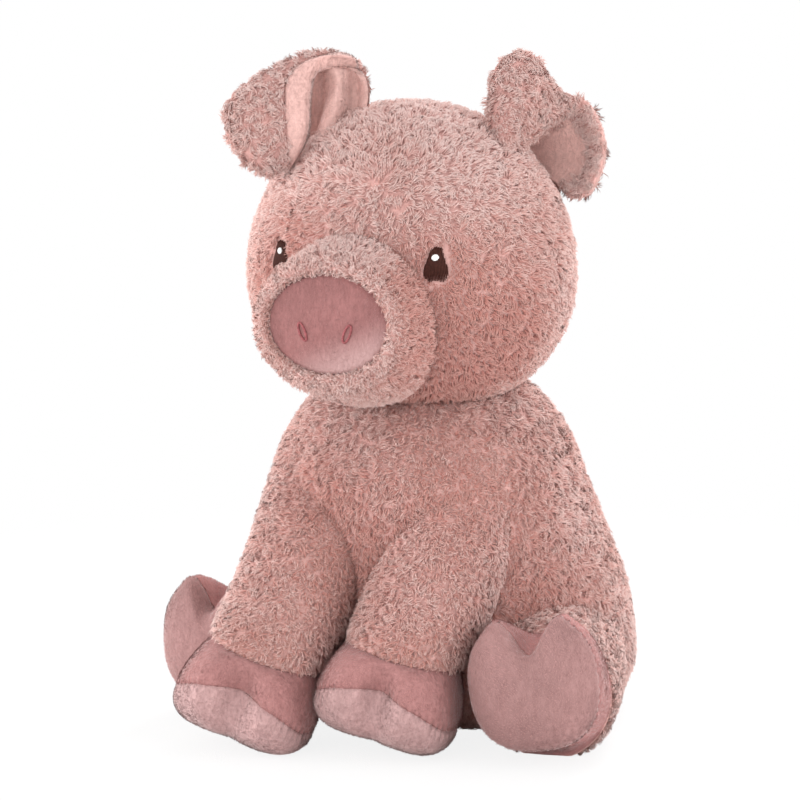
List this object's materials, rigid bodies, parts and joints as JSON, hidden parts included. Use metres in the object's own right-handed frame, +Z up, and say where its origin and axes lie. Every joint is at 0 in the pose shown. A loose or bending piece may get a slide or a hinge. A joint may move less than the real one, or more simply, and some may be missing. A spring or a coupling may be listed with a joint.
{
  "type": "plush pig",
  "caption": "Soft toy pig that sits on its seat, with a stuffed pile-covered body and head, a short muzzle, soft ears, split hooves and a curled tail.",
  "frame": {"origin": "on the surface that the pig sits on, below the front part of its seat and below its neck", "axes": "+Z up, -Y the way that the face looks, +X towards the pig's own left side"},
  "size_m": [0.1774, 0.1971, 0.2433],
  "materials": {
    "pile": "long curly pile",
    "velboa": "short smooth pile",
    "snout_velboa": "short smooth pile",
    "lining_velboa": "short smooth pile",
    "stuffing": "loose fibre",
    "eye_thread": "satin stitch",
    "glint_thread": "satin stitch",
    "nostril_thread": "satin stitch"
  },
  "bodies": {
    "torso": {"body_cover": "pile", "body_stuffing": "stuffing"},
    "head": {"head_cover": "pile", "head_stuffing": "stuffing", "muzzle_cover": "pile", "snout_disc": "snout_velboa", "nostril_left": "nostril_thread", "nostril_right": "nostril_thread", "eye_left": "eye_thread", "eye_right": "eye_thread", "eye_glint_left": "glint_thread", "eye_glint_right": "glint_thread"},
    "ear_left": {"ear_left_outer": "pile", "ear_left_lining": "lining_velboa"},
    "ear_right": {"ear_right_outer": "pile", "ear_right_lining": "lining_velboa"},
    "front_leg_left": {"front_leg_left_cover": "pile", "front_leg_left_hoof": "velboa", "front_leg_left_sole": "velboa", "front_leg_left_stuffing": "stuffing"},
    "front_leg_right": {"front_leg_right_cover": "pile", "front_leg_right_hoof": "velboa", "front_leg_right_sole": "velboa", "front_leg_right_stuffing": "stuffing"},
    "hind_leg_left": {"hind_leg_left_cover": "pile", "hind_leg_left_hoof": "velboa", "hind_leg_left_sole": "velboa", "hind_leg_left_stuffing": "stuffing"},
    "hind_leg_right": {"hind_leg_right_cover": "pile", "hind_leg_right_hoof": "velboa", "hind_leg_right_sole": "velboa", "hind_leg_right_stuffing": "stuffing"},
    "tail": {"tail": "velboa"}
  },
  "joints": [
    {"name": "neck_nod", "type": "hinge", "parent": "torso", "child": "head", "pos_m": [0, -0.0075, 0.078], "axis": [1, 0, 0], "range_deg": [-8, 8], "stiffness_Nm_per_rad": 1},
    {"name": "ear_left_flop", "type": "hinge", "parent": "head", "child": "ear_left", "pos_m": [0.03855, -0.02587, 0.2081], "axis": [-0.5684, -0.8196, -0.0718], "range_deg": [-12, 12], "stiffness_Nm_per_rad": 0.1},
    {"name": "ear_right_flop", "type": "hinge", "parent": "head", "child": "ear_right", "pos_m": [-0.02583, -0.03901, 0.2099], "axis": [-0.6887, -0.5406, -0.4832], "range_deg": [-12, 12], "stiffness_Nm_per_rad": 0.1},
    {"name": "front_leg_left_lift", "type": "hinge", "parent": "torso", "child": "front_leg_left", "pos_m": [0.024, -0.04881, 0.1076], "axis": [-0.9781, -0.2079, 0], "range_deg": [0, 35], "stiffness_Nm_per_rad": 0.3},
    {"name": "front_leg_right_lift", "type": "hinge", "parent": "torso", "child": "front_leg_right", "pos_m": [-0.026, -0.04758, 0.1076], "axis": [-0.9781, 0.2079, 0], "range_deg": [0, 35], "stiffness_Nm_per_rad": 0.3},
    {"name": "hind_leg_left_splay", "type": "hinge", "parent": "torso", "child": "hind_leg_left", "pos_m": [0.06618, 0.0185, 0.026], "axis": [0, 0, 1], "range_deg": [0, 25], "stiffness_Nm_per_rad": 0.3},
    {"name": "hind_leg_right_splay", "type": "hinge", "parent": "torso", "child": "hind_leg_right", "pos_m": [-0.06618, 0.0185, 0.026], "axis": [0, 0, -1], "range_deg": [0, 25], "stiffness_Nm_per_rad": 0.3},
    {"name": "tail_wag", "type": "hinge", "parent": "torso", "child": "tail", "pos_m": [0, 0.07386, 0.048], "axis": [0, 0, 1], "range_deg": [-10, 10], "stiffness_Nm_per_rad": 0.02}
  ]
}
